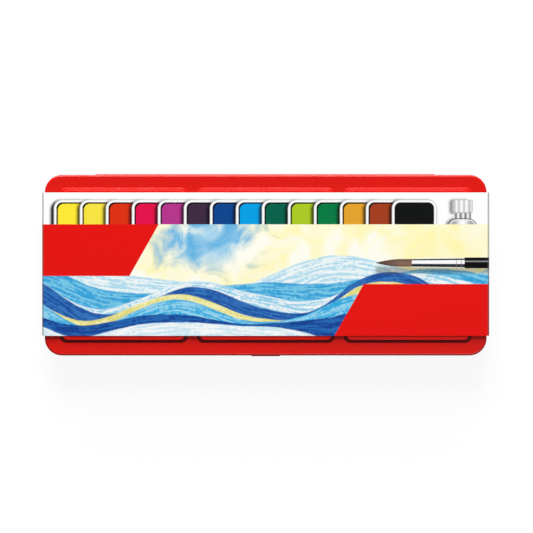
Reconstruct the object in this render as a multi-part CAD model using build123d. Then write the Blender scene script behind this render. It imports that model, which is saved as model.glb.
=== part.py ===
from build123d import *
from math import cos, pi, radians, sqrt, tan
import os

# A flat hinged tin for gouache paints, closed, with a card wrap over its lid.
# It lies on its base: X to the right, Y to the hinge at the back, Z up, in millimetres.
# The origin is the middle of the footprint, on the table.

# Thickness of each sheet material
tinplate = 0.4
tray_plastic = 0.6
sleeve_board = 0.45

# Colour pans, seen from above: the rim's size, and the cup that hangs under it
pans_per_row = 7
pan_rows = 2
pan_width = 27.7
pan_length = 36.9
pan_corner = 5.3
pan_gap = 2.1
pan_rim_thickness = 1.0
pan_rim_width = 2.0
pan_rim_overhang = 0.7
pan_depth = 10.7
pan_floor = 1.0
pan_draft_degrees = 2.0
pan_floor_round = 1.6
pan_rim_round = 0.35
pan_side_clearance = 0.3
pan_seat_gap = 0.3
paint_below_rim = 1.2
paint_edge_round = 0.6
paint_gap = 0.05

# Tube, from its folded end to its cap
tube_radius = 8.85
tube_wall = 0.3
crimp_length = 6.0
crimp_thickness = 1.3
tube_taper_length = 34.0
tube_round_length = 35.0
tube_shoulder_length = 1.8
collar_radius = 5.0
collar_length = 3.2
thread_radius = 3.9
mouth_radius = 2.4
cap_across_flats = 12.4
cap_sides = 8
cap_length = 7.9
cap_end_wall = 1.3
cap_chamfer = 0.7
cap_bore_clearance = 0.3
cap_collar_gap = 0.15
liner_thickness = 0.6
liner_gap = 0.05
liner_side_clearance = 0.1
tube_seat_gap = 0.2
tube_side_clearance = 0.6
crimp_side_clearance = 1.6
crimp_end_room = 2.0
cap_travel_room = 7.0

# Brush, from the hair's tip to the handle's tail
hair_length = 22.2
hair_belly_radius = 2.25
hair_tip_radius = 0.15
hair_root_length = 8.0
ferrule_length = 32.8
ferrule_front_radius = 2.55
ferrule_back_radius = 3.0
ferrule_wall = 0.25
ferrule_groove_depth = 0.15
ferrule_groove_width = 0.8
ferrule_front_groove = 5.6
ferrule_back_groove = 2.0
handle_length = 135.0
handle_front_radius = 3.3
handle_belly_radius = 3.6
handle_belly_place = 16.0
handle_tail_radius = 1.8
tenon_length = 12.0
brush_fit = 0.05
brush_seat_gap = 0.2

# Insert tray
groove_width = 12.0
groove_depth = 9.0
groove_corner = 1.8
groove_end_room = 5.0
notch_length = 22.0
notch_reach = 4.0
notch_place = -8.0
pocket_floor_round = 1.2
tube_pocket_corner = 2.8
cap_notch_length = 26.0
tray_rim_depth = 3.0
tray_clearance = 0.4
tray_end_margin = 5.4
tube_margin = 12.4
tube_gap = 14.3
groove_gap = 6.3
tray_back_margin = 3.6
tray_front_margin = 5.55

# Tin
tin_corner = 10.8
shoulder_height = 12.6
seam_gap = 0.2
neck_inset = 1.3
neck_headroom = 2.1
curl = 1.0
curl_round = 0.4
base_edge_round = 1.6
lid_edge_round = 1.2
lid_headroom = 1.7

# Raised panels of the lid: the middle one and one at each side
panel_end_margin = 9.4
panel_side_margin = 8.05
panel_gap = 5.6
middle_panel_length = 85.8
panel_corner = 4.0
panel_steps = 2
panel_step_rise = 0.6
panel_step_pitch = 1.2
panel_slope_degrees = 45.0

# Thumb lip at the front of the lid
lip_root_width = 19.0
lip_edge_width = 17.2
lip_thickness = 0.9
lip_round = 0.3
lip_reach = 0.65

# Hinge: a straight wire in one long lid knuckle and two short base knuckles
wire_radius = 0.7
hinge_clearance = 0.08
wire_grip = 0.02
hinge_length = 211.4
end_knuckle_length = 7.8
knuckle_end_gap = 0.15
knuckle_gap = 0.4
wire_recess = 0.3

# Card wrap
sleeve_width = 89.1
sleeve_place = 0.65
sleeve_side_gap = 1.05
sleeve_lift = 0.1
sleeve_fold_radius = 0.75
sleeve_foot_gap = 0.1
sleeve_foot_height = 0.3

# Lengths along X: the pan rows or the brush groove, then the tube pocket
crimp_width = pi * tube_radius
tube_pocket_width = crimp_width + 2 * crimp_side_clearance
pan_row_length = pans_per_row * pan_width + (pans_per_row - 1) * pan_gap
brush_length = hair_length + ferrule_length + handle_length
groove_length = brush_length + 2 * groove_end_room
storage_length = max(pan_row_length, groove_length)
tray_length = tray_end_margin + storage_length + tube_gap + tube_pocket_width + tube_margin
tin_length = tray_length + 2 * (tray_clearance + curl + neck_inset)
tray_left = -tray_length / 2
storage_x = tray_left + tray_end_margin + storage_length / 2
tube_x = -tray_left - tube_margin - tube_pocket_width / 2

# Lengths along Y: the pan rows and the brush groove, or the tube pocket beside them
cap_and_neck_length = tube_shoulder_length + collar_length + cap_collar_gap + cap_length
tube_length = crimp_length + tube_taper_length + tube_round_length + cap_and_neck_length
tube_pocket_length = crimp_end_room + tube_length + cap_travel_room
pan_block_width = pan_rows * pan_length + (pan_rows - 1) * pan_gap
storage_width = max(pan_block_width + groove_gap + groove_width, tube_pocket_length)
tray_width = tray_back_margin + storage_width + tray_front_margin
knuckle_radius = wire_radius + hinge_clearance + tinplate
hinge_inset = 2 * knuckle_radius - lip_reach + knuckle_gap
tin_width = tray_width + 2 * (tray_clearance + curl) + neck_inset + hinge_inset
tin_back = tin_width / 2
neck_back = tin_back - hinge_inset
neck_length = tin_length - 2 * neck_inset
neck_width = neck_back + tin_back - neck_inset
neck_y = neck_back - neck_width / 2
neck_corner = tin_corner - neck_inset
tray_back = neck_back - curl - tray_clearance
groove_y = tray_back - tray_back_margin - pan_block_width - groove_gap - groove_width / 2

# Heights
tray_floor_top = tinplate + tray_plastic
deck_top = tray_floor_top + pan_seat_gap + pan_depth
pan_top = deck_top + pan_rim_thickness
tube_z = tray_floor_top + tube_seat_gap + tube_radius
lid_inside_top = max(tube_z + tube_radius, pan_top) + lid_headroom
lid_top = lid_inside_top + tinplate
lid_bottom = shoulder_height + seam_gap
neck_top = lid_inside_top - neck_headroom
groove_floor = deck_top - groove_depth
brush_z = groove_floor + brush_seat_gap + handle_belly_radius
panel_top = lid_top + panel_steps * panel_step_rise

# Places along the tube's axis, from the pocket's back end forwards
pocket_back = tray_back - tray_back_margin
cap_back = pocket_back - cap_travel_room
cap_front = cap_back - cap_length
collar_back = cap_front - cap_collar_gap
collar_front = collar_back - collar_length
tube_round_back = collar_front - tube_shoulder_length
tube_round_front = tube_round_back - tube_round_length
tube_taper_front = tube_round_front - tube_taper_length
crimp_front = tube_taper_front - crimp_length
cap_bore_back = cap_back - cap_end_wall
liner_back = cap_bore_back - liner_gap
mouth_back = liner_back - liner_thickness - liner_gap
cap_bore_radius = thread_radius + cap_bore_clearance

# Places along the brush, from the tip to the tail
brush_tip = storage_x - brush_length / 2
ferrule_front = brush_tip + hair_length
handle_front = ferrule_front + ferrule_length
handle_tail = handle_front + handle_length

# Hinge places
axis_y = tin_back + lip_reach - knuckle_radius
axis_z = lid_bottom
cut_height = knuckle_radius + knuckle_gap
lid_knuckle_half = hinge_length / 2 - end_knuckle_length - knuckle_end_gap
notch_half = hinge_length / 2 + knuckle_gap
wall_past_axis = tin_back - axis_y
corner_past_axis = sqrt(tin_corner**2 - (tin_corner - wall_past_axis) ** 2)
back_cut_half = tin_length / 2 - tin_corner + corner_past_axis + knuckle_gap


def slab(length, width, corner, low, high, x=0.0, y=0.0):
    """An upright block with rounded corners between two heights."""
    return Pos(x, y, low) * extrude(RectangleRounded(length, width, corner), high - low)


def block(x_span, y_span, z_span):
    """A plain block between three pairs of coordinates."""
    spans = (x_span, y_span, z_span)
    sizes = [high - low for low, high in spans]
    centre = [(high + low) / 2 for low, high in spans]
    return Pos(*centre) * Box(*sizes)


def round_top(solid, radius):
    return fillet(solid.edges().group_by(Axis.Z)[-1], radius)


def round_bottom(solid, radius):
    return fillet(solid.edges().group_by(Axis.Z)[0], radius)


def hinge_rod(radius, low, high):
    """A round bar on the hinge axis."""
    return Pos((low + high) / 2, axis_y, axis_z) * Rot(0, 90, 0) * Cylinder(radius, high - low)


def tube_disc(radius, front, back):
    """A round bar on the tube's axis."""
    return Pos(tube_x, (front + back) / 2, tube_z) * Rot(90, 0, 0) * Cylinder(radius, back - front)


def brush_turning(outline):
    """Turns an outline of (x, radius) points and curves about the brush's axis."""
    turned = revolve(Plane.XZ * make_face(outline), Axis.X)
    return Pos(0, groove_y, brush_z) * turned


# ---------------------------------------------------------------- tin


def panel_spans():
    """The low and high X of each raised panel."""
    middle = middle_panel_length / 2
    inner = middle + panel_gap
    outer = tin_length / 2 - panel_end_margin
    return [(-outer, -inner), (-middle, middle), (inner, outer)]


def lid_core(inset):
    """All that lies under the lid's outside (inset 0) or its inside (inset of one sheet)."""
    length = tin_length - 2 * inset
    width = tin_width - 2 * inset
    top = lid_top - inset
    core = slab(length, width, tin_corner - inset, lid_bottom, top)
    core = round_top(core, lid_edge_round - inset)
    slope_inset = inset * (sqrt(2) - 1)
    for low, high in panel_spans():
        for step in range(panel_steps):
            drawn_in = 2 * (slope_inset + step * panel_step_pitch)
            outline = RectangleRounded(
                high - low - drawn_in,
                tin_width - 2 * panel_side_margin - drawn_in,
                panel_corner,
            )
            raised = extrude(outline, panel_step_rise, taper=panel_slope_degrees)
            core += Pos((low + high) / 2, 0, top + step * panel_step_rise) * raised
    return core


def rolled_edge(length, width, corner, low, y=0.0):
    """A rolled sheet edge: a ring with rounded edges, its outside flush with the wall."""
    high = low + curl
    outside = slab(length, width, corner, low, high, y=y)
    inside = slab(length - 2 * curl, width - 2 * curl, corner - curl, low, high, y=y)
    ring = outside - inside
    ends = ring.edges().group_by(Axis.Z)
    return fillet(ends[0] + ends[-1], curl_round)


def thumb_lip():
    root = -tin_width / 2 + tinplate / 2
    edge = -tin_width / 2 - lip_reach
    outline = Polyline(
        (-lip_root_width / 2, root),
        (lip_root_width / 2, root),
        (lip_edge_width / 2, edge),
        (-lip_edge_width / 2, edge),
        close=True,
    )
    lip = Pos(0, 0, lid_bottom) * extrude(make_face(outline), lip_thickness)
    return fillet(lip.edges().group_by(Axis.Y)[0], lip_round)


def lid_shell():
    shell = lid_core(0) - lid_core(tinplate)
    shell += rolled_edge(tin_length, tin_width, tin_corner, lid_bottom)
    shell += thumb_lip()
    shell -= block(
        (-back_cut_half, back_cut_half),
        (neck_back, tin_back + knuckle_gap),
        (lid_bottom - knuckle_gap, lid_bottom + cut_height),
    )
    shell += block(
        (-lid_knuckle_half, lid_knuckle_half),
        (tin_back - tinplate, tin_back),
        (axis_z, lid_bottom + cut_height + tinplate),
    )
    shell += hinge_rod(knuckle_radius, -lid_knuckle_half, lid_knuckle_half)
    return shell - hinge_rod(wire_radius + hinge_clearance, -lid_knuckle_half, lid_knuckle_half)


def base_core(inset):
    """All that lies inside the base's outside (inset 0) or its inside (inset of one sheet)."""
    length = tin_length - 2 * inset
    width = tin_width - 2 * inset
    core = slab(length, width, tin_corner - inset, inset, shoulder_height - inset)
    core = round_bottom(core, base_edge_round - inset)
    core -= block(
        (-notch_half - inset, notch_half + inset),
        (neck_back - inset, tin_back),
        (axis_z - cut_height - inset, axis_z),
    )
    length = neck_length - 2 * inset
    width = neck_width - 2 * inset
    foot = axis_z - cut_height - 2 * inset
    return core + slab(length, width, neck_corner - inset, foot, neck_top, y=neck_y)


def base_shell():
    shell = base_core(0) - base_core(tinplate)
    shell += rolled_edge(neck_length, neck_width, neck_corner, neck_top - curl, neck_y)
    outer = hinge_length / 2
    inner = outer - end_knuckle_length
    for low, high in ((-outer, -inner), (inner, outer)):
        shell += block(
            (low, high), (tin_back - tinplate, tin_back), (axis_z - cut_height - tinplate, axis_z)
        )
        shell += hinge_rod(knuckle_radius, low, high)
        shell -= hinge_rod(wire_radius + wire_grip, low, high)
    return shell


def hinge_wire():
    half = hinge_length / 2 - wire_recess
    return hinge_rod(wire_radius, -half, half)


# ---------------------------------------------------------------- insert tray and pans


def pan_places():
    """The centre of each pan, from the back row's left end."""
    first_x = storage_x - pan_row_length / 2 + pan_width / 2
    first_y = tray_back - tray_back_margin - pan_length / 2
    places = []
    for row in range(pan_rows):
        for column in range(pans_per_row):
            x = first_x + column * (pan_width + pan_gap)
            y = first_y - row * (pan_length + pan_gap)
            places.append((x, y))
    return places


def pocket(outline, floor_top, wall):
    """The hollow of a tray pocket, or the same with its plastic wall round it."""
    if wall:
        outline = offset(outline, wall)
    body = Pos(0, 0, floor_top - wall) * extrude(outline, deck_top - floor_top + wall)
    return round_bottom(body, pocket_floor_round + wall)


def pan_pockets(wall):
    side = 2 * (pan_side_clearance - pan_rim_overhang)
    corner = pan_corner - pan_rim_overhang + pan_side_clearance
    outline = RectangleRounded(pan_width + side, pan_length + side, corner)
    hollow = pocket(outline, tray_floor_top, wall)
    return [Pos(x, y, 0) * hollow for x, y in pan_places()]


def brush_pocket(wall):
    """A groove with room for two fingertips part of the way along."""
    half_length = groove_length / 2
    half_width = groove_width / 2
    notch_low = notch_place - notch_length / 2
    notch_high = notch_place + notch_length / 2
    notch_half = half_width + notch_reach
    back = [
        (-half_length, half_width),
        (notch_low, half_width),
        (notch_low, notch_half),
        (notch_high, notch_half),
        (notch_high, half_width),
        (half_length, half_width),
    ]
    front = [(x, -y) for x, y in reversed(back)]
    outline = make_face(Polyline(*back, *front, close=True))
    outline = fillet(outline.vertices(), groove_corner)
    return Pos(storage_x, groove_y, 0) * pocket(outline, groove_floor, wall)


def tube_pocket(wall):
    """A wide end round the cap, a channel for the round part and a flare to the folded end."""
    pocket_front = crimp_front - crimp_end_room
    wide = tube_pocket_width / 2
    narrow = tube_radius + tube_side_clearance
    right = [
        (wide, pocket_front),
        (wide, tube_taper_front),
        (narrow, tube_round_front),
        (narrow, pocket_back - cap_notch_length),
        (wide, pocket_back - cap_notch_length),
        (wide, pocket_back),
    ]
    left = [(-x, y) for x, y in reversed(right)]
    outline = make_face(Polyline(*right, *left, close=True))
    outline = fillet(outline.vertices(), tube_pocket_corner)
    return Pos(tube_x, 0, 0) * pocket(outline, tray_floor_top, wall)


def insert_tray():
    """A deck with a turned-down rim, and the pockets that hang from it."""
    tray_y = tray_back - tray_width / 2
    corner = tin_corner - neck_inset - curl - tray_clearance
    rim_foot = deck_top - tray_rim_depth
    outside = slab(tray_length, tray_width, corner, rim_foot, deck_top, y=tray_y)
    inside = slab(
        tray_length - 2 * tray_plastic,
        tray_width - 2 * tray_plastic,
        corner - tray_plastic,
        rim_foot,
        deck_top - tray_plastic,
        y=tray_y,
    )
    walled = pan_pockets(tray_plastic) + [brush_pocket(tray_plastic), tube_pocket(tray_plastic)]
    hollows = pan_pockets(0) + [brush_pocket(0), tube_pocket(0)]
    return (outside - inside) + walled - hollows


def drafted_cup(drawn_in, low, high):
    """A pan's shape drawn in from its rim, narrowing downwards, with a rounded floor."""
    outline = RectangleRounded(
        pan_width - 2 * drawn_in, pan_length - 2 * drawn_in, pan_corner - drawn_in
    )
    body = Pos(0, 0, high) * extrude(outline, low - high, taper=pan_draft_degrees)
    return round_bottom(body, pan_floor_round)


def pan():
    rim = slab(pan_width, pan_length, pan_corner, deck_top, pan_top)
    rim = round_top(rim, pan_rim_round)
    cup = drafted_cup(pan_rim_overhang, deck_top - pan_depth, deck_top)
    hollow = drafted_cup(pan_rim_width, deck_top - pan_depth + pan_floor, pan_top)
    return rim + cup - hollow


def paint_cake():
    low = deck_top - pan_depth + pan_floor + paint_gap
    side = pan_rim_width + paint_below_rim * tan(radians(pan_draft_degrees)) + paint_gap
    return round_top(drafted_cup(side, low, pan_top - paint_below_rim), paint_edge_round)


# ---------------------------------------------------------------- tube


def tube_section(half_width, half_height, y):
    plane = Plane(origin=(tube_x, y, tube_z), x_dir=(1, 0, 0), z_dir=(0, 1, 0))
    return plane * Ellipse(half_width, half_height)


def tube_core(inset):
    """The tube's outside (inset 0) or the room inside it, from the fold to the mouth."""
    radius = tube_radius - inset
    flat_width = crimp_width / 2 - inset
    flat_height = crimp_thickness / 2 - inset
    sections = []
    for share in (0, 0.5, 1):
        half_width = radius + share * (flat_width - radius)
        half_height = radius + share * (flat_height - radius)
        y = tube_round_front - share * tube_taper_length
        sections.append(tube_section(half_width, half_height, y))
    core = loft(sections)
    core += tube_disc(radius, tube_round_front, tube_round_back)
    shoulder_plane = Plane(origin=(tube_x, tube_round_back, tube_z), z_dir=(0, 1, 0))
    collar_plane = Plane(origin=(tube_x, collar_front, tube_z), z_dir=(0, 1, 0))
    shoulder = [shoulder_plane * Circle(radius), collar_plane * Circle(collar_radius - inset)]
    core += loft(shoulder)
    return core


def tube_body():
    body = tube_core(0)
    body += block(
        (tube_x - crimp_width / 2, tube_x + crimp_width / 2),
        (crimp_front, tube_taper_front),
        (tube_z - crimp_thickness / 2, tube_z + crimp_thickness / 2),
    )
    body += tube_disc(collar_radius, collar_front, collar_back)
    body += tube_disc(thread_radius, collar_back, mouth_back)
    body -= tube_core(tube_wall)
    return body - tube_disc(mouth_radius, collar_front, mouth_back)


def tube_paint():
    paint = tube_core(tube_wall + paint_gap)
    return paint + tube_disc(mouth_radius - paint_gap, collar_front, mouth_back - liner_thickness)


def tube_cap():
    flat_to_corner = cos(radians(180 / cap_sides))
    outline = RegularPolygon(cap_across_flats / 2 / flat_to_corner, cap_sides)
    turn = Rot(0, 0, 180 / cap_sides)
    plane = Plane(origin=(tube_x, cap_front, tube_z), x_dir=(1, 0, 0), z_dir=(0, 1, 0))
    cap = extrude(plane * turn * outline, cap_length)
    cap = chamfer(cap.edges().group_by(Axis.Y)[-1], cap_chamfer)
    return cap - tube_disc(cap_bore_radius, cap_front, cap_bore_back)


def tube_cap_liner():
    return tube_disc(cap_bore_radius - liner_side_clearance, liner_back - liner_thickness, liner_back)


# ---------------------------------------------------------------- brush


def brush_hair():
    """The root inside the ferrule, a slightly swollen belly and a fine point."""
    root_radius = ferrule_front_radius - ferrule_wall - brush_fit
    root_end = ferrule_front + hair_root_length
    belly_place = ferrule_front - hair_length / 4
    outline = Line((root_end, 0), (root_end, root_radius))
    outline += Line((root_end, root_radius), (ferrule_front, root_radius))
    outline += Spline(
        (ferrule_front, root_radius),
        (belly_place, hair_belly_radius),
        (brush_tip + hair_length / 3, hair_belly_radius * 2 / 3),
        (brush_tip, hair_tip_radius),
    )
    outline += Line((brush_tip, hair_tip_radius), (brush_tip, 0))
    outline += Line((brush_tip, 0), (root_end, 0))
    return brush_turning(outline)


def ferrule_point(before_handle, inset=0.0):
    """A point of the ferrule's outside, some way before the handle, or inset from it."""
    taper = (ferrule_back_radius - ferrule_front_radius) / ferrule_length
    return (handle_front - before_handle, ferrule_back_radius - before_handle * taper - inset)


def brush_ferrule():
    """A tapered metal tube with two pressed grooves that grip the handle."""
    section = [ferrule_point(ferrule_length, ferrule_wall), ferrule_point(ferrule_length)]
    for groove in (ferrule_front_groove, ferrule_back_groove):
        section.append(ferrule_point(groove + ferrule_groove_width / 2))
        section.append(ferrule_point(groove, ferrule_groove_depth))
        section.append(ferrule_point(groove - ferrule_groove_width / 2))
    section += [ferrule_point(0), ferrule_point(0, ferrule_wall)]
    return brush_turning(Polyline(*section, close=True))


def brush_handle():
    """A tenon in the ferrule, a swell behind it and a long taper to a rounded tail."""
    tenon_front = handle_front - tenon_length
    tenon_radius = ferrule_front_radius - ferrule_wall - brush_fit
    tail_start = handle_tail - handle_tail_radius
    outline = Line((tenon_front, 0), (tenon_front, tenon_radius))
    outline += Line((tenon_front, tenon_radius), (handle_front, tenon_radius))
    outline += Line((handle_front, tenon_radius), (handle_front, handle_front_radius))
    outline += Spline(
        (handle_front, handle_front_radius),
        (handle_front + handle_belly_place, handle_belly_radius),
        (handle_front + handle_length / 2, (handle_belly_radius + handle_tail_radius) / 2),
        (tail_start, handle_tail_radius),
    )
    outline += RadiusArc((tail_start, handle_tail_radius), (handle_tail, 0), handle_tail_radius)
    outline += Line((handle_tail, 0), (tenon_front, 0))
    return brush_turning(outline)


# ---------------------------------------------------------------- card wrap


def sleeve_section(inset):
    """The wrap's outline across the tin, drawn in by the inset, with its two folds."""
    top = panel_top + sleeve_lift + sleeve_board - inset
    half = tin_length / 2 + sleeve_side_gap + sleeve_board - inset
    foot = tin_length / 2 + sleeve_foot_gap + sleeve_board - inset
    outline = Polyline(
        (-foot, sleeve_foot_height),
        (foot, sleeve_foot_height),
        (half, top),
        (-half, top),
        close=True,
    )
    section = make_face(outline)
    folds = section.vertices().group_by(Axis.Y)[-1]
    return fillet(folds, sleeve_fold_radius + sleeve_board - inset)


def sleeve_card():
    back = sleeve_place + sleeve_width / 2
    section = sleeve_section(0) - sleeve_section(sleeve_board)
    return extrude(Plane.XZ.offset(-back) * section, sleeve_width)


def main():
    nodes = {
        "base_shell": base_shell(),
        "lid_shell": lid_shell(),
        "hinge_wire": hinge_wire(),
        "insert_tray": insert_tray(),
        "tube_body": tube_body(),
        "tube_paint": tube_paint(),
        "tube_cap": tube_cap(),
        "tube_cap_liner": tube_cap_liner(),
        "brush_hair": brush_hair(),
        "brush_ferrule": brush_ferrule(),
        "brush_handle": brush_handle(),
        "sleeve_card": sleeve_card(),
    }
    cup = pan()
    cake = paint_cake()
    for number, (x, y) in enumerate(pan_places(), start=1):
        nodes[f"pan_{number:02d}"] = Pos(x, y, 0) * cup
        nodes[f"paint_{number:02d}"] = Pos(x, y, 0) * cake
    os.makedirs("parts", exist_ok=True)
    for name, solid in nodes.items():
        export_step(solid, f"parts/{name}.step")
    print(f"tin {tin_length:.2f} x {tin_width:.2f}, lid top {lid_top:.2f}, panels {panel_top:.2f}")
    print(f"hinge axis y {axis_y:.3f} z {axis_z:.3f}; tube axis x {tube_x:.3f} z {tube_z:.3f}")


main()
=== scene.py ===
import bpy
import random
from math import cos, pi, sin
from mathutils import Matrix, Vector


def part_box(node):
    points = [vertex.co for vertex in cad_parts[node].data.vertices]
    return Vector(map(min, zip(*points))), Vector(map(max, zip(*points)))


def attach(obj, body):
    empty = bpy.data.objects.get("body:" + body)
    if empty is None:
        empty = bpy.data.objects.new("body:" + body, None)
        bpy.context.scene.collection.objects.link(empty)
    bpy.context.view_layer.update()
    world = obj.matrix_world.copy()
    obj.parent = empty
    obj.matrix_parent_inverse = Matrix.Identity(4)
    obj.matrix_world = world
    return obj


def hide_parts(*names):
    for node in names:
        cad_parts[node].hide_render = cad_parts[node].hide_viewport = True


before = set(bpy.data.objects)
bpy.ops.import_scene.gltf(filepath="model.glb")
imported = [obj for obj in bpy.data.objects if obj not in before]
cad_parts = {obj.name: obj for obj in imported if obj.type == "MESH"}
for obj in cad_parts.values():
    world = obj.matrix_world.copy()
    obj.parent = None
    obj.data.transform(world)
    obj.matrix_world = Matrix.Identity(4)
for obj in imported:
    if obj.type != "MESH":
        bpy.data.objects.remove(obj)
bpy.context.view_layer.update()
random.seed(7)
MM = 0.001

# The picture: 533 pixels across, and where the tin's middle lies in it
PICTURE_WIDTH = 533
MM_PER_PIXEL = 0.6216
TIN_MIDDLE_PIXEL = (265.7, 265.2)

# The print on the card wrap, in millimetres from the tin's middle
STRIP_FOOT = 25.4  # where the white strip ends and the picture starts
PRINTED_PITCH = 16.16
PRINTED_FIRST = -131.6  # left edge of the first pan
PRINTED_TOP = 40.65
PRINTED_WIDTH = 27.7
PRINTED_DEPTH = 40.0
PRINTED_CORNER = 5.3
PRINTED_RIM = 2.0
TUBE_X = 122.3
BRUSH_TIP = 68.6
BRUSH_Y = 1.45
FERRULE_X = 90.8
HANDLE_X = 123.6
BANNER_SLANT = 18.2 / 32.1  # sideways run of a banner's slanted end for each millimetre of height
UPPER_BANNER_END = -66.5  # right end of the upper banner, at the strip's foot
UPPER_BANNER_FOOT = -6.7
LOWER_BANNER_START = 60.9  # left end of the lower banner, at its top
LOWER_BANNER_TOP = -11.7
FOLD_START = 137.7  # where the wrap starts to fold down at both ends

# sRGB colours of the fourteen cakes, left to right in the print
PAN_COLOURS = [
    (254, 232, 53),
    (246, 226, 64),
    (221, 47, 12),
    (227, 13, 74),
    (180, 53, 140),
    (61, 41, 64),
    (8, 68, 141),
    (0, 158, 227),
    (0, 97, 74),
    (170, 200, 35),
    (0, 121, 66),
    (228, 162, 44),
    (162, 61, 30),
    (12, 16, 13),
]

# Soft lights: name, place, width, height and power in watts. The sky is their faint fill.
LIGHTS = [
    ("low_back_light", (-0.15, 2.3, 0.60), 3.0, 0.5, 58.0),
    ("back_light", (-0.25, 2.5, 1.8), 1.8, 1.2, 94.0),
    ("front_fill", (0.5, -1.5, 2.6), 1.4, 1.4, 23.0),
]
SKY = 0.06
FLOOR_TONE = 0.12  # how much of the lights the floor returns, which carries the shadow
FLOOR_GLOW = 0.90  # its own light, for the camera only

LACQUER = (224, 24, 16)
# painted shade: dark red put in the steps round the lid's raised panels
STEP_SHADE_RED = (66, 6, 4)
BANNER = (229, 16, 11)
BARE_METAL = (205, 207, 210)

# Heights on the tin and lengths along the tube, in millimetres
HEM_HEIGHT = 2.2
PANEL_HEIGHT = 1.16
FLOOR_BELOW = 3.0
FOLD_LENGTH = 6.2
COLLAR_LENGTH = 9.4
TUBE_BANDS = [(8.0, 2.6), (12.0, 0.5), (62.0, 0.5), (64.0, 2.6)]  # start from the fold, width

# Each ribbon of the picture: its level, swing, bends in radians a millimetre, phase, dark and light
RIBBONS = [
    (-2.0, 9.0, 0.045, 0.4, (176, 220, 238), (239, 246, 247)),
    (-9.0, 7.5, 0.050, 1.5, (52, 160, 216), (120, 200, 232)),
    (-14.0, 6.5, 0.042, 2.6, (240, 246, 247), (150, 208, 234)),
    (-19.0, 6.0, 0.055, 3.5, (26, 78, 158), (52, 116, 188)),
    (-25.0, 5.5, 0.048, 4.4, (223, 217, 127), (246, 241, 180)),
    (-28.5, 5.0, 0.060, 5.2, (48, 170, 224), (150, 214, 238)),
    (-34.5, 4.0, 0.052, 6.3, (20, 66, 146), (36, 104, 180)),
    (-40.0, 3.0, 0.066, 7.5, (205, 232, 243), (248, 250, 250)),
]


def linear(colour):
    """An sRGB colour of 0 to 255 as the linear colour a shader takes."""
    shares = []
    for value in colour:
        share = value / 255
        low = share / 12.92
        high = ((share + 0.055) / 1.055) ** 2.4
        shares.append(low if share <= 0.04045 else high)
    return (*shares, 1.0)


# ---------------------------------------------------------------- shader arithmetic


class Field:
    """A number that varies over a surface. Arithmetic on it adds nodes to its tree."""

    def __init__(self, tree, source):
        self.tree = tree
        self.source = source

    def math(self, operation, *others):
        node = self.tree.nodes.new("ShaderNodeMath")
        node.operation = operation
        for socket, value in zip(node.inputs, (self, *others)):
            plug(self.tree, value, socket)
        return Field(self.tree, node.outputs[0])

    def __add__(self, other):
        return self.math("ADD", other)

    def __sub__(self, other):
        return self.math("SUBTRACT", other)

    def __rsub__(self, other):
        return self.math("MULTIPLY_ADD", -1.0, other)

    def __mul__(self, other):
        return self.math("MULTIPLY", other)

    def __truediv__(self, other):
        return self.math("DIVIDE", other)

    def __gt__(self, other):
        return self.math("GREATER_THAN", other)

    def __lt__(self, other):
        return self.math("LESS_THAN", other)

    def least(self, other):
        return self.math("MINIMUM", other)

    def most(self, other):
        return self.math("MAXIMUM", other)

    def size(self):
        return self.math("ABSOLUTE")

    def within(self, low, high):
        return self.most(low).least(high)

    def ramp(self, low, high):
        """0 at the low value and below, 1 at the high value and above."""
        return ((self - low) / (high - low)).within(0.0, 1.0)


def plug(tree, value, socket):
    if isinstance(value, Field):
        tree.links.new(value.source, socket)
    else:
        socket.default_value = value


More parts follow.
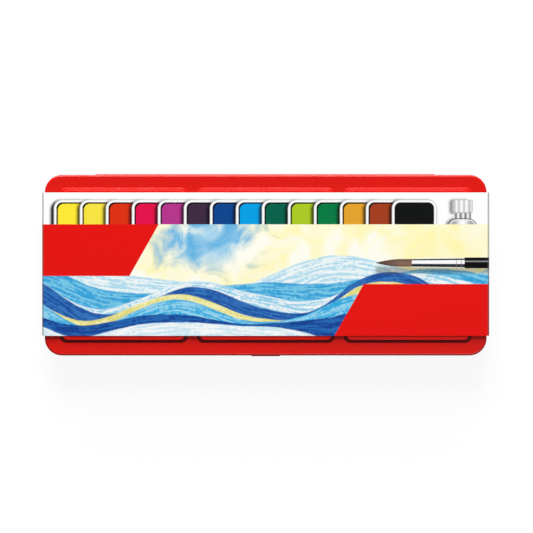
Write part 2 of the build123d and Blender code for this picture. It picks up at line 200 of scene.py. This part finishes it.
class Paint:
    """A material under construction: its places, its noise and its colour layers."""

    def __init__(self, name):
        self.material = bpy.data.materials.new(name)
        self.material.use_nodes = True
        self.tree = self.material.node_tree
        self.shader = self.tree.nodes["Principled BSDF"]
        self.place = self.tree.nodes.new("ShaderNodeTexCoord")

    def split(self, socket, scale=1.0):
        node = self.tree.nodes.new("ShaderNodeSeparateXYZ")
        self.tree.links.new(socket, node.inputs[0])
        return [Field(self.tree, output) * scale for output in node.outputs]

    def places(self):
        """X, Y and Z on the piece, in millimetres."""
        return self.split(self.place.outputs["Object"], 1 / MM)

    def facing(self):
        """The surface's outward direction on the piece."""
        return self.split(self.place.outputs["Normal"])

    def noise(self, scale, detail=3.0, stretch=(1.0, 1.0, 1.0), distortion=0.0, shift=0.0):
        """Smooth noise round 0.5. The scale is in bumps per millimetre."""
        mapping = self.tree.nodes.new("ShaderNodeMapping")
        mapping.inputs["Scale"].default_value = [scale / MM * part for part in stretch]
        mapping.inputs["Location"].default_value = (shift, shift, shift)
        self.tree.links.new(self.place.outputs["Object"], mapping.inputs["Vector"])
        node = self.tree.nodes.new("ShaderNodeTexNoise")
        node.inputs["Scale"].default_value = 1.0
        node.inputs["Detail"].default_value = detail
        node.inputs["Distortion"].default_value = distortion
        self.tree.links.new(mapping.outputs["Vector"], node.inputs["Vector"])
        return Field(self.tree, node.outputs["Fac"])

    def streaks(self, along, across, detail=3.0):
        """Smooth noise round 0.5 on two coordinates of its own."""
        joined = self.tree.nodes.new("ShaderNodeCombineXYZ")
        plug(self.tree, along, joined.inputs[0])
        plug(self.tree, across, joined.inputs[1])
        node = self.tree.nodes.new("ShaderNodeTexNoise")
        node.inputs["Scale"].default_value = 1.0
        node.inputs["Detail"].default_value = detail
        self.tree.links.new(joined.outputs[0], node.inputs["Vector"])
        return Field(self.tree, node.outputs["Fac"])

    def mix(self, share, first, second):
        """The first colour where the share is 0, the second where it is 1."""
        node = self.tree.nodes.new("ShaderNodeMix")
        node.data_type = "RGBA"
        plug(self.tree, share, node.inputs[0])
        for socket, colour in ((node.inputs[6], first), (node.inputs[7], second)):
            if isinstance(colour, tuple):
                socket.default_value = linear(colour)
            else:
                self.tree.links.new(colour, socket)
        return node.outputs[2]

    def pick(self, share, colours):
        """One of several colours in equal steps of a share from 0 to 1."""
        node = self.tree.nodes.new("ShaderNodeValToRGB")
        ramp = node.color_ramp
        ramp.interpolation = "CONSTANT"
        while len(ramp.elements) < len(colours):
            ramp.elements.new(1.0)
        for number, colour in enumerate(colours):
            ramp.elements[number].position = number / len(colours)
            ramp.elements[number].color = linear(colour)
        plug(self.tree, share, node.inputs[0])
        return node.outputs[0]

    def bump(self, height, strength, distance):
        """Fine relief: the distance is in millimetres."""
        node = self.tree.nodes.new("ShaderNodeBump")
        node.inputs["Strength"].default_value = strength
        node.inputs["Distance"].default_value = distance * MM
        plug(self.tree, height, node.inputs["Height"])
        self.tree.links.new(node.outputs["Normal"], self.shader.inputs["Normal"])

    def finish(self, colour, roughness, **values):
        """Sets the shader's colour, roughness and plain values, and gives the material."""
        if isinstance(colour, tuple):
            self.shader.inputs["Base Color"].default_value = linear(colour)
        else:
            self.tree.links.new(colour, self.shader.inputs["Base Color"])
        plug(self.tree, roughness, self.shader.inputs["Roughness"])
        for name, value in values.items():
            self.shader.inputs[name.replace("_", " ")].default_value = value
        return self.material


# ---------------------------------------------------------------- materials


def lacquered_tin(name, inside):
    """Red lacquer outside and white enamel inside, with a faint orange peel, handling haze and
    painted shade in the panel steps.
    """
    paint = Paint(name)
    haze = paint.noise(0.02, detail=4.0)
    peel = paint.noise(0.9, detail=2.0)
    specks = paint.noise(1.6, detail=1.0, shift=4.0).ramp(0.74, 0.80)
    red = paint.mix(haze.ramp(0.35, 0.7), LACQUER, (217, 21, 15))
    red = paint.mix(specks * 0.25, red, (240, 70, 58))
    # Painted shade: darker red in the steps round the lid's raised panels, toward the front,
    # standing in for their shadow.
    red = paint.mix(panel_step_shade(paint) * 0.92, red, STEP_SHADE_RED)
    white = paint.mix(haze.ramp(0.3, 0.7), (240, 240, 237), (231, 232, 230))
    colour = paint.mix(inside(paint), red, white)
    paint.bump(peel, 0.05, 0.08)
    shine = {"Specular_IOR_Level": 0.4, "Coat_Weight": 0.1, "Coat_Roughness": 0.08}
    return paint.finish(colour, haze * 0.12 + 0.2, **shine)


def panel_step_shade(paint):
    """1 on the steps round the lid's raised panels toward the front, where shade is painted as
    darker lacquer.
    """
    _, y, z = paint.places()
    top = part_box("lid_shell")[1][2] / MM
    between = (z > top - PANEL_HEIGHT) * (z < top - 0.06)
    return between * (1.0 - y.ramp(-25.0, 25.0))


def inner_walls(paint):
    """1 where a steep surface faces the middle of the tin."""
    x, y, _ = paint.places()
    nx, ny, nz = paint.facing()
    return ((nx * x + ny * y) < -5.0) * (nz.size() < 0.5)


def inside_lid(paint):
    """1 on the lid's white inside: ceiling and inner walls above the turned hem."""
    _, _, z = paint.places()
    _, _, nz = paint.facing()
    hem_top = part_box("lid_shell")[0][2] / MM + HEM_HEIGHT
    return inner_walls(paint).most(nz < -0.3) * (z > hem_top)


def inside_base(paint):
    """1 on the base's white inside: its floor and its inner walls."""
    _, _, z = paint.places()
    _, _, nz = paint.facing()
    neck_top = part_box("base_shell")[1][2] / MM
    floor = (nz > 0.5) * (z < FLOOR_BELOW)
    return (inner_walls(paint) * (z < neck_top - 0.5)).most(floor)


def moulded_plastic(name, colour, roughness=0.32):
    """Satin plastic with a faint cloud in its tone and a fine moulded grain."""
    paint = Paint(name)
    cloud = paint.noise(0.05, detail=3.0)
    grain = paint.noise(1.4, detail=2.0)
    darker = tuple(int(value * 0.965) for value in colour)
    paint.bump(grain, 0.06, 0.05)
    tint = paint.mix(cloud.ramp(0.3, 0.7), colour, darker)
    return paint.finish(tint, cloud * 0.12 + (roughness - 0.06))


def gouache_cake(name, colour):
    """A dry, chalky cake: cloudy pigment and fine pores."""
    paint = Paint(name)
    cloud = paint.noise(0.12, detail=4.0, shift=len(name) + sum(colour))
    pores = paint.noise(1.1, detail=4.0, shift=sum(colour))
    lighter = tuple(int(value + (255 - value) * 0.10) for value in colour)
    darker = tuple(int(value * 0.86) for value in colour)
    tint = paint.mix(cloud.ramp(0.35, 0.65), darker, lighter)
    paint.bump(cloud * 2.0 + pores * 0.5, 0.5, 0.35)
    return paint.finish(tint, cloud.ramp(0.3, 0.7) * 0.2 + 0.6)


def drawn_wire(name, colour, stretch, roughness=0.25):
    """Metal with fine lines along one direction."""
    paint = Paint(name)
    lines = paint.noise(1.5, detail=3.0, stretch=stretch)
    darker = tuple(int(value * 0.85) for value in colour)
    tint = paint.mix(lines.ramp(0.3, 0.7), colour, darker)
    paint.bump(lines, 0.08, 0.05)
    return paint.finish(tint, lines * 0.15 + (roughness - 0.07), Metallic=1.0)


def tube_foil():
    """White lacquered foil, softly dented, with plain bands, and bare metal at both ends."""
    paint = Paint("tube_foil")
    _, y, _ = paint.places()
    dents = paint.noise(0.12, detail=2.0)
    low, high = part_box("tube_body")
    foot = low[1] / MM
    bare = (y < foot + FOLD_LENGTH).most(y > high[1] / MM - COLLAR_LENGTH)
    colour = (238, 238, 236)
    for start, width in TUBE_BANDS:
        band = cover((y - (foot + start + width / 2)).size() - width / 2)
        colour = paint.mix(band, colour, (206, 30, 24))
    colour = paint.mix(bare, colour, BARE_METAL)
    paint.bump(dents, 0.35, 0.8)
    plug(paint.tree, bare, paint.shader.inputs["Metallic"])
    return paint.finish(colour, dents * 0.2 + 0.22)


def lacquered_handle():
    """Black gloss lacquer over wood, with faint streaks along the handle."""
    paint = Paint("handle_lacquer")
    haze = paint.noise(0.08, detail=3.0, stretch=(0.3, 1.0, 1.0))
    colour = paint.mix(haze.ramp(0.4, 0.7), (14, 14, 16), (26, 25, 27))
    paint.bump(haze, 0.04, 0.1)
    return paint.finish(colour, haze * 0.1 + 0.12, Coat_Weight=0.6, Coat_Roughness=0.05)


def soft_hair():
    """Brown hair with lighter strands, darker toward the tip."""
    paint = Paint("brush_hair")
    strands = paint.noise(2.6, detail=3.0, stretch=(0.08, 1.0, 1.0))
    x, _, _ = paint.places()
    low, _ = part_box("brush_hair")
    tip = x.ramp(low[0] / MM, low[0] / MM + 6.0)
    brown = paint.mix(strands.ramp(0.3, 0.7), (92, 58, 46), (142, 101, 84))
    colour = paint.mix(tip, (70, 44, 36), brown)
    paint.bump(strands, 0.3, 0.15)
    return paint.finish(colour, strands * 0.2 + 0.45)


# ---------------------------------------------------------------- the wrap's print


def rounded_box(x, y, half_x, half_y, corner):
    """Distance to a box with round corners, in millimetres, negative inside."""
    out_x = x.size() - (half_x - corner)
    out_y = y.size() - (half_y - corner)
    corner_x = out_x.most(0.0)
    corner_y = out_y.most(0.0)
    outside = (corner_x * corner_x + corner_y * corner_y).math("SQRT")
    return outside + out_x.most(out_y).least(0.0) - corner


def cover(distance, soft=0.12):
    """1 inside a shape and 0 outside, over a thin soft edge."""
    return (0.5 - distance / (2 * soft)).within(0.0, 1.0)


def printed_pans(paint, colour, x, y):
    """A row of overlapping pans, each laid over the one to its left."""
    last = float(len(PAN_COLOURS) - 1)
    number = ((x - PRINTED_FIRST) / PRINTED_PITCH).math("FLOOR").within(0.0, last)
    half = PRINTED_WIDTH / 2
    half_depth = PRINTED_DEPTH / 2
    inner = PRINTED_RIM - 0.45
    corner = PRINTED_CORNER - inner
    v = y - (PRINTED_TOP - half_depth)
    for pan in ((number - 1.0).most(0.0), number, (number + 1.0).least(last)):
        u = x - (pan * PRINTED_PITCH + (PRINTED_FIRST + half))
        rim = rounded_box(u, v, half, half_depth, PRINTED_CORNER)
        cast = rounded_box(u + 1.3, v + 1.0, half, half_depth, PRINTED_CORNER)
        shade = 1.0 - (cast.most(0.0) / 2.4).least(1.0)
        colour = paint.mix(shade * shade * 0.85, colour, (6, 6, 8))
        colour = paint.mix(cover(rim - 0.12), colour, (196, 197, 199))
        colour = paint.mix(cover(rim + 0.22), colour, (250, 250, 250))
        well = rounded_box(u, v, half - inner, half_depth - inner, corner)
        colour = paint.mix(cover(well), colour, (12, 10, 10))
        cake = rounded_box(u - 0.3, v + 0.4, half - inner - 0.6, half_depth - inner - 0.5, corner)
        pigment = paint.pick((pan + 0.5) / len(PAN_COLOURS), PAN_COLOURS)
        colour = paint.mix(cover(cake), colour, pigment)
    return colour


def printed_tube(paint, colour, x, y):
    """The top of a white tube: fluted cap, neck, shoulder and the start of its body."""
    u = x - TUBE_X
    cap_shadow = rounded_box(u + 1.7, y - 36.3, 5.9, 4.0, 1.4)
    body_shadow = rounded_box(u + 1.2, y - 15.9, 9.2, 13.1, 6.0)
    for shadow in (cap_shadow, body_shadow):
        soft = 1.0 - (shadow.most(0.0) / 2.2).least(1.0)
        colour = paint.mix(soft * soft * 0.7 * (u < 3.0), colour, (62, 62, 66))
    neck = rounded_box(u, y - 30.4, 5.3, 3.2, 0.6)
    neck_tone = (u * 2.1 + 0.8).math("SINE") * 0.5 + 0.5
    neck_silver = paint.mix(neck_tone, (118, 119, 122), (244, 244, 245))
    colour = paint.mix(cover(neck), colour, neck_silver)
    body = rounded_box(u, y - 16.0, 9.3, 13.1, 6.0)
    gleam = (u * 0.55).math("COSINE") * 0.5 + 0.5
    silver = paint.mix(gleam, (168, 169, 172), (252, 252, 253))
    colour = paint.mix(cover(body), colour, (92, 93, 96))
    colour = paint.mix(cover(body + 0.6), colour, (252, 252, 252))
    colour = paint.mix(cover(body + 1.2), colour, silver)
    cap = rounded_box(u, y - 36.5, 6.35, 4.2, 1.1)
    flute = ((u + 0.6) * 2.0).math("COSINE") * 0.5 + 0.5
    side = (u.size() - 3.0).ramp(0.0, 3.2)
    cap_grey = paint.mix(flute, (203, 204, 207), (253, 253, 253))
    cap_grey = paint.mix(side * 0.4, cap_grey, (138, 139, 143))
    foot = 1.0 - y.ramp(32.4, 33.4)
    cap_grey = paint.mix(foot * 0.5, cap_grey, (120, 121, 125))
    colour = paint.mix(cover(cap), colour, (176, 177, 180))
    return paint.mix(cover(cap + 0.25), colour, cap_grey)


def printed_brush(paint, colour, x, y):
    """A round brush lying across the print, with its soft shadow under it."""
    v = y - BRUSH_Y
    below = rounded_box(x - 105.0, v + 4.4, 36.0, 1.2, 1.2)
    shade = 1.0 - (below.most(0.0) / 3.0).least(1.0)
    colour = paint.mix(shade * shade * 0.55, colour, (96, 92, 62))
    along_hair = x.ramp(BRUSH_TIP - 0.6, BRUSH_TIP + 15.0)
    belly = (along_hair * (pi / 2)).math("SINE")
    hair = v.size() - belly * 2.35
    hair_tone = (v * 0.9 + x * 0.02).math("SINE") * 0.5 + 0.5
    brown = paint.mix(hair_tone, (88, 62, 54), (136, 104, 92))
    brown = paint.mix(1.0 - along_hair, brown, (60, 42, 36))
    on_hair = cover(hair) * (x > BRUSH_TIP) * (x < FERRULE_X)
    colour = paint.mix(on_hair, colour, brown)
    taper = x.ramp(FERRULE_X, HANDLE_X)
    half = taper * 0.5 + 2.6
    w = v / half
    metal = paint.mix(w.ramp(0.55, 0.62), (252, 252, 253), (16, 17, 20))
    metal = paint.mix(w.ramp(0.84, 0.90), metal, (238, 240, 242))
    metal = paint.mix(1.0 - w.ramp(-0.28, -0.14), metal, (52, 58, 66))
    metal = paint.mix(1.0 - w.ramp(-0.62, -0.48), metal, (18, 22, 30))
    metal = paint.mix(1.0 - w.ramp(-0.92, -0.84), metal, (236, 238, 240))
    for groove in (118.6, 121.6):
        ring = 1.0 - ((x - groove).size() / 0.5).least(1.0)
        metal = paint.mix(ring * 0.7, metal, (120, 122, 126))
    on_ferrule = cover(v.size() - half) * (x > FERRULE_X) * (x < HANDLE_X)
    colour = paint.mix(on_ferrule, colour, metal)
    streak = 1.0 - ((v - 0.95).size() / 0.7).least(1.0)
    handle = paint.mix(streak, (8, 8, 10), (150, 152, 156))
    on_handle = cover(v.size() - 3.35) * (x > HANDLE_X)
    return paint.mix(on_handle, colour, handle)


def printed_picture(paint, x, y):
    """Watercolour: pale washes over bands of rolling ribbons in blues and white."""
    drift = paint.noise(0.018, detail=3.0, distortion=0.6)
    bend = paint.noise(0.013, detail=0.0, shift=12.0)
    blot = paint.noise(0.05, detail=5.0, distortion=1.2, shift=2.0)
    grit = paint.noise(0.55, detail=4.0, shift=6.0)
    wash = paint.mix(blot.ramp(0.36, 0.62), (255, 248, 188), (254, 253, 240))
    wash = paint.mix(drift.ramp(0.52, 0.72) * 0.5, wash, (255, 246, 160))
    cloud_x = (x + 34.0) / 30.0
    cloud_y = (y - 14.0) / 17.0
    away = (cloud_x * cloud_x + cloud_y * cloud_y).math("SQRT")
    cloud = 1.0 - (away + (blot - 0.5) * 2.4).ramp(0.55, 1.15)
    sky = paint.mix(blot.ramp(0.35, 0.68), (96, 178, 226), (186, 224, 240))
    colour = paint.mix(cloud, wash, sky)
    sway = (bend - 0.5) * 44.0 + (blot - 0.5) * 1.6
    for level, swing, turn, phase, dark, light in RIBBONS:
        crest = (x * turn + phase).math("SINE") * swing + sway + level
        share = cover(y - crest, 0.35)
        bristle = paint.streaks(x * 0.055 + phase, (y - crest) * 0.62)
        tone = paint.mix((bristle + (grit - 0.5) * 0.5).ramp(0.43, 0.57), dark, light)
        colour = paint.mix(share, colour, tone)
        edge = 1.0 - ((y - crest + 0.5).size() / 0.75).least(1.0)
        colour = paint.mix(edge * blot.ramp(0.42, 0.56), colour, dark)
    return colour


def printed_board():
    """The wrap's glossy print outside, and plain white board inside and at its cut edges."""
    paint = Paint("printed_board")
    x, y, z = paint.places()
    nx, ny, nz = paint.facing()
    colour = printed_pans(paint, (253, 253, 253), x, y)
    colour = printed_tube(paint, colour, x, y)
    picture = printed_picture(paint, x, y)
    picture = printed_brush(paint, picture, x, y)
    upper_end = (y - STRIP_FOOT) * BANNER_SLANT + UPPER_BANNER_END
    upper = (x - upper_end).most(UPPER_BANNER_FOOT - y)
    below_top = y - LOWER_BANNER_TOP
    lower = (below_top * BANNER_SLANT + LOWER_BANNER_START - x).most(below_top)
    picture = paint.mix(cover(upper), picture, BANNER)
    picture = paint.mix(cover(lower), picture, BANNER)
    colour = paint.mix(cover(y - STRIP_FOOT), colour, picture)
    # Painted shade: grey where the wrap bends down at both ends, standing in for the shade on the
    # fold's curve.
    fold_shade = x.size().ramp(FOLD_START, FOLD_START + 0.3) * z.ramp(19.8, 21.6)
    colour = paint.mix(fold_shade * 0.42, colour, (96, 92, 88))
    outward = (nx * x * 0.01).most(nz) > 0.3
    fibre = paint.noise(0.8, detail=3.0, stretch=(1.0, 0.4, 1.0))
    board = paint.mix(fibre.ramp(0.3, 0.7), (236, 235, 230), (244, 243, 239))
    colour = paint.mix(outward, board, colour)
    paint.bump(fibre, 0.05, 0.05)
    return paint.finish(colour, fibre * 0.1 + 0.3, Specular_IOR_Level=0.18)


# ---------------------------------------------------------------- pieces


def new_piece(name, verts, faces, material, body, smooth=True):
    """A mesh of its own that rides on one body of the frame."""
    mesh = bpy.data.meshes.new(name)
    mesh.from_pydata(verts, [], faces)
    mesh.validate()
    mesh.materials.append(material)
    piece = bpy.data.objects.new(name, mesh)
    bpy.context.scene.collection.objects.link(piece)
    if smooth:
        for polygon in mesh.polygons:
            polygon.use_smooth = True
    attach(piece, body)
    return piece


def hair_tuft():
    """Separate hairs laid in rings inside one another and drawn to one point."""
    low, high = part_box("brush_hair")
    middle_y = (low[1] + high[1]) / 2
    middle_z = (low[2] + high[2]) / 2
    tip_x = low[0]
    root_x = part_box("brush_ferrule")[0][0] + 0.6 * MM
    length = root_x - tip_x
    belly = 2.14 * MM
    hair_radius = 0.17 * MM
    steps = 9
    sides = 4
    verts = []
    faces = []

    def outline(share):
        """Radius of the tuft from the tip, 0, to the ferrule, 1."""
        return belly * sin(min(share * 1.55, 1.0) * pi / 2) ** 0.85

    def hair(angle, depth, start):
        """One hair from its own start near the tip back into the ferrule."""
        first = len(verts)
        for step in range(steps):
            share = start + (1 - start) * step / (steps - 1)
            reach = outline(share) * depth
            x = tip_x + share * length
            y = middle_y + reach * cos(angle)
            z = middle_z + reach * sin(angle)
            radius = hair_radius * (0.25 + 0.75 * min(1.0, (share - start) * 5))
            for side in range(sides):
                turn = angle + side * 2 * pi / sides
                verts.append((x, y + radius * cos(turn), z + radius * sin(turn)))
        for step in range(steps - 1):
            for side in range(sides):
                a = first + step * sides + side
                b = first + step * sides + (side + 1) % sides
                faces.append((a, b, b + sides, a + sides))
        faces.append(tuple(first + side for side in reversed(range(sides))))
        last = first + (steps - 1) * sides
        faces.append(tuple(last + side for side in range(sides)))

    for ring, count in ((1.0, 44), (0.86, 36), (0.68, 26), (0.45, 16), (0.15, 5)):
        for number in range(count):
            angle = 2 * pi * (number + random.uniform(-0.3, 0.3)) / count
            start = random.uniform(0.0, 0.12 + 0.1 * (1 - ring))
            hair(angle, ring * random.uniform(0.96, 1.02), start)
    tuft = new_piece("hair_tuft", verts, faces, soft_hair(), "base")
    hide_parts("brush_hair")


def neck_thread(metal):
    """A low helical ridge on the tube's neck, inside the cap's clearance."""
    low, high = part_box("tube_body")
    cap_low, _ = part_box("tube_cap")
    middle_x = (low[0] + high[0]) / 2
    middle_z = (low[2] + high[2]) / 2
    neck_radius = 3.9 * MM
    ridge = 0.2 * MM
    pitch = 1.5 * MM
    turns = 3.2
    steps = 24
    start_y = cap_low[1] + 0.5 * MM
    foot = -0.1 * MM
    profile = [(-0.35 * MM, foot), (-0.1 * MM, ridge), (0.1 * MM, ridge), (0.35 * MM, foot)]
    verts = []
    count = int(turns * steps)
    for step in range(count + 1):
        angle = -2 * pi * step / steps
        fade = min(1.0, step / 6, (count - step) / 6)
        for along, out in profile:
            radius = neck_radius + (out if out < 0 else out * fade)
            y = start_y + pitch * step / steps + along
            verts.append((middle_x + radius * cos(angle), y, middle_z + radius * sin(angle)))
    faces = []
    for step in range(count):
        for point in range(3):
            a = step * 4 + point
            faces.append((a, a + 1, a + 5, a + 4))
        faces.append((step * 4 + 3, step * 4, step * 4 + 4, step * 4 + 7))
    faces.append((3, 2, 1, 0))
    end = count * 4
    faces.append((end, end + 1, end + 2, end + 3))
    thread = new_piece("neck_thread", verts, faces, metal, "base")


def fold_ridges(metal):
    """The turned-over folds across the tube's flat end: two on its top and one under it."""
    low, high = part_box("tube_body")
    middle_z = (low[2] + high[2]) / 2
    half_block = 0.65 * MM
    left = low[0] + 0.15 * MM
    right = high[0] - 0.15 * MM
    ease = 0.25 * MM
    folds = ((0.15, 2.5, 1), (2.9, 2.7, 1), (0.15, 2.8, -1))
    for number, (start, width, side) in enumerate(folds, start=1):
        near = low[1] + start * MM
        far = near + width * MM
        foot = middle_z + side * (half_block - 0.02 * MM)
        crown = foot + side * 0.17 * MM
        outline = [(near, foot), (near + ease, crown), (far - ease, crown), (far, foot)]
        verts = [(left, y, z) for y, z in outline] + [(right, y, z) for y, z in outline]
        faces = [(0, 1, 5, 4), (1, 2, 6, 5), (2, 3, 7, 6), (3, 0, 4, 7), (3, 2, 1, 0), (4, 5, 6, 7)]
        if side < 0:
            faces = [tuple(reversed(face)) for face in faces]
        ridge = new_piece(f"fold_ridge_{number}", verts, faces, metal, "base", smooth=False)


def dress_nodes():
    """Gives each solid of the frame its material."""
    white_tray = moulded_plastic("tray_plastic", (236, 236, 233))
    white_pan = moulded_plastic("pan_plastic", (244, 244, 241), 0.26)
    finishes = {
        "lid_shell": lacquered_tin("tin_lid", inside_lid),
        "base_shell": lacquered_tin("tin_base", inside_base),
        "hinge_wire": drawn_wire("hinge_steel", (190, 190, 194), (0.1, 1.0, 1.0)),
        "insert_tray": white_tray,
        "tube_body": tube_foil(),
        "tube_paint": gouache_cake("tube_white", (246, 246, 243)),
        "tube_cap": moulded_plastic("cap_plastic", (242, 242, 241), 0.28),
        "tube_cap_liner": moulded_plastic("liner_foam", (222, 222, 219), 0.6),
        "brush_ferrule": drawn_wire("ferrule_nickel", (214, 216, 220), (0.05, 1.0, 1.0), 0.16),
        "brush_handle": lacquered_handle(),
        "sleeve_card": printed_board(),
    }
    for number, colour in enumerate(PAN_COLOURS, start=1):
        finishes[f"pan_{number:02d}"] = white_pan
        finishes[f"paint_{number:02d}"] = gouache_cake(f"gouache_{number:02d}", colour)
    for name, material in finishes.items():
        piece = bpy.data.objects[name]
        piece.data.materials.clear()
        piece.data.materials.append(material)


# ---------------------------------------------------------------- studio


def studio():
    """A white floor that keeps the shadow, a white background and three soft lights."""
    floor_mesh = bpy.data.meshes.new("floor")
    reach = 3.0
    corners = [(-reach, -reach, 0), (reach, -reach, 0), (reach, reach, 0), (-reach, reach, 0)]
    floor_mesh.from_pydata(corners, [], [(0, 1, 2, 3)])
    floor = bpy.data.objects.new("floor", floor_mesh)
    bpy.context.scene.collection.objects.link(floor)
    white = bpy.data.materials.new("floor_white")
    white.use_nodes = True
    nodes = white.node_tree.nodes
    links = white.node_tree.links
    nodes.clear()
    matt = nodes.new("ShaderNodeBsdfDiffuse")
    matt.inputs["Color"].default_value = (FLOOR_TONE, FLOOR_TONE, FLOOR_TONE, 1)
    path = nodes.new("ShaderNodeLightPath")
    seen = nodes.new("ShaderNodeMath")
    seen.operation = "MULTIPLY"
    seen.inputs[1].default_value = FLOOR_GLOW
    links.new(path.outputs["Is Camera Ray"], seen.inputs[0])
    glow = nodes.new("ShaderNodeEmission")
    links.new(seen.outputs[0], glow.inputs["Strength"])
    both = nodes.new("ShaderNodeAddShader")
    links.new(matt.outputs[0], both.inputs[0])
    links.new(glow.outputs[0], both.inputs[1])
    out = nodes.new("ShaderNodeOutputMaterial")
    links.new(both.outputs[0], out.inputs["Surface"])
    floor_mesh.materials.append(white)

    world = bpy.data.worlds.new("studio")
    world.use_nodes = True
    sky = world.node_tree
    backdrop = sky.nodes["Background"]
    backdrop.inputs["Color"].default_value = (1, 1, 1, 1)
    direct = sky.nodes.new("ShaderNodeLightPath")
    strength = sky.nodes.new("ShaderNodeMath")
    strength.operation = "MULTIPLY_ADD"
    strength.inputs[1].default_value = 1.0 - SKY
    strength.inputs[2].default_value = SKY
    sky.links.new(direct.outputs["Is Camera Ray"], strength.inputs[0])
    sky.links.new(strength.outputs[0], backdrop.inputs["Strength"])
    bpy.context.scene.world = world

    for name, place, width, height, power in LIGHTS:
        lamp = bpy.data.lights.new(name, "AREA")
        lamp.shape = "RECTANGLE"
        lamp.size = width
        lamp.size_y = height
        lamp.energy = power
        lamp_object = bpy.data.objects.new(name, lamp)
        lamp_object.location = place
        lamp_object.rotation_euler = (-Vector(place)).to_track_quat("-Z", "Y").to_euler()
        bpy.context.scene.collection.objects.link(lamp_object)


def camera():
    """Straight down from far off, with the tin where the picture has it."""
    lens = bpy.data.cameras.new("camera")
    lens.lens = 200.0
    lens.sensor_width = 36.0
    lens.clip_end = 20.0
    field = PICTURE_WIDTH * MM_PER_PIXEL * MM
    distance = field * lens.lens / lens.sensor_width
    middle = PICTURE_WIDTH / 2
    across = (middle - TIN_MIDDLE_PIXEL[0]) * MM_PER_PIXEL * MM
    along = (TIN_MIDDLE_PIXEL[1] - middle) * MM_PER_PIXEL * MM
    view = bpy.data.objects.new("camera", lens)
    view.location = (across, along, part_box("lid_shell")[1][2] + distance)
    bpy.context.scene.collection.objects.link(view)
    bpy.context.scene.camera = view


bpy.context.scene.view_settings.view_transform = "Standard"
bare_metal = drawn_wire("tube_bare_metal", BARE_METAL, (0.3, 1.0, 1.0), 0.3)
camera()
studio()
dress_nodes()
hair_tuft()
neck_thread(bare_metal)
fold_ridges(bare_metal)
